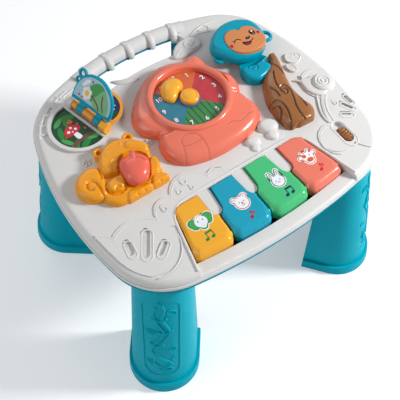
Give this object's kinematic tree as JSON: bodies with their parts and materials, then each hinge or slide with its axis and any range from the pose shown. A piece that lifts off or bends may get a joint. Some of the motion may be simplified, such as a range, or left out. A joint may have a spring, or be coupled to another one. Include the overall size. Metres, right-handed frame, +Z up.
{
  "type": "musical activity table",
  "caption": "Toddler's four-legged activity table with piano keys, turning clock hand, flip pages, turning monkey, acorn button and carry handle.",
  "frame": {"origin": "on the floor, under the middle of the table's outline", "axes": "+X to the child's right, +Y away from the child, +Z up; the keys face -Y"},
  "size_m": [0.3728, 0.3398, 0.2809],
  "materials": {
    "cover_white": "satin, injection moulded",
    "housing_teal": "satin, injection moulded",
    "leg_teal": "satin, injection moulded",
    "key_yellow": "glossy",
    "key_teal": "glossy",
    "key_green": "glossy",
    "key_coral": "glossy",
    "steel": "plain",
    "rubber_dark": "matt",
    "board_green": "solder mask",
    "clock_coral": "glossy",
    "dial_print": "printed card, four sectors",
    "hand_yellow": "glossy",
    "inner_white": "plain",
    "monkey_teal": "glossy",
    "face_tan": "printed",
    "trunk_brown": "satin",
    "squirrel_yellow": "glossy",
    "acorn_coral": "glossy, slightly see-through",
    "panel_green": "printed card",
    "cap_yellow": "glossy",
    "page_teal": "glossy",
    "page_orange": "glossy",
    "card_blue": "printed card",
    "card_navy": "printed card",
    "knob_brown": "satin",
    "speaker_black": "paper cone in a plastic basket",
    "cell_blue": "wrapped",
    "screw_steel": "zinc plated"
  },
  "bodies": {
    "table": {"top_cover": "cover_white", "lower_housing": "housing_teal", "leg_front_left": "leg_teal", "leg_front_right": "leg_teal", "leg_back_left": "leg_teal", "leg_back_right": "leg_teal", "key_axle": "steel", "key_pads": "rubber_dark", "circuit_board": "board_green", "clock_housing": "clock_coral", "clock_dial": "dial_print", "click_spring": "steel", "monkey_arm": "monkey_teal", "tree_trunk": "trunk_brown", "squirrel": "squirrel_yellow", "acorn_pad": "rubber_dark", "acorn_lamp": "board_green", "book_panel": "panel_green", "book_rod": "inner_white", "book_cap": "cap_yellow", "slide_switch": "steel", "speaker": "speaker_black", "battery_box": "housing_teal", "battery_cell_1": "cell_blue", "battery_cell_2": "cell_blue", "battery_cell_3": "cell_blue", "battery_contacts": "steel", "battery_door": "housing_teal", "door_screw": "screw_steel", "housing_screws": "screw_steel", "leg_screws": "screw_steel"},
    "key_1": {"key_1": "key_yellow"},
    "key_2": {"key_2": "key_teal"},
    "key_3": {"key_3": "key_green"},
    "key_4": {"key_4": "key_coral"},
    "hand": {"clock_hand": "hand_yellow", "clock_spindle": "steel", "click_wheel": "inner_white"},
    "monkey": {"monkey_head": "monkey_teal", "monkey_face": "face_tan", "monkey_spindle": "inner_white"},
    "acorn": {"acorn_button": "acorn_coral"},
    "teal_page": {"page_teal_frame": "page_teal", "page_teal_card": "card_blue"},
    "orange_page": {"page_orange_frame": "page_orange", "page_orange_card": "card_navy"},
    "knob": {"switch_knob": "knob_brown"}
  },
  "joints": [
    {"name": "key_1_press", "type": "hinge", "parent": "table", "child": "key_1", "pos_m": [0, -0.058, 0.224], "axis": [1, 0, 0], "range_deg": [0, 3.5], "stiffness_Nm_per_rad": 1.2, "springref_deg": -4.58},
    {"name": "key_2_press", "type": "hinge", "parent": "table", "child": "key_2", "pos_m": [0, -0.058, 0.224], "axis": [1, 0, 0], "range_deg": [0, 3.5], "stiffness_Nm_per_rad": 1.2, "springref_deg": -4.58},
    {"name": "key_3_press", "type": "hinge", "parent": "table", "child": "key_3", "pos_m": [0, -0.058, 0.224], "axis": [1, 0, 0], "range_deg": [0, 3.5], "stiffness_Nm_per_rad": 1.2, "springref_deg": -4.58},
    {"name": "key_4_press", "type": "hinge", "parent": "table", "child": "key_4", "pos_m": [0, -0.058, 0.224], "axis": [1, 0, 0], "range_deg": [0, 3.5], "stiffness_Nm_per_rad": 1.2, "springref_deg": -4.58},
    {"name": "clock_hand_turn", "type": "hinge", "parent": "table", "child": "hand", "pos_m": [0.011, 0.037, 0.2475], "axis": [0, 0, 1], "continuous": true},
    {"name": "monkey_turn", "type": "hinge", "parent": "table", "child": "monkey", "pos_m": [0.108, 0.07, 0.2435], "axis": [0, 0, 1], "range_deg": [-25, 25]},
    {"name": "acorn_press", "type": "slide", "parent": "table", "child": "acorn", "axis": [0, 0, 1], "range_m": [-0.0025, 0], "stiffness_N_per_m": 300, "springref_m": 0.002},
    {"name": "teal_page_flip", "type": "hinge", "parent": "table", "child": "teal_page", "pos_m": [-0.096, 0.088, 0.242], "axis": [0.2334, -0.9724, 0], "range_deg": [-38, 112]},
    {"name": "orange_page_flip", "type": "hinge", "parent": "table", "child": "orange_page", "pos_m": [-0.096, 0.088, 0.242], "axis": [0.2334, -0.9724, 0], "range_deg": [0, 40]},
    {"name": "volume_slide", "type": "slide", "parent": "table", "child": "knob", "axis": [0, 1, 0], "range_m": [0, 0.009]}
  ]
}
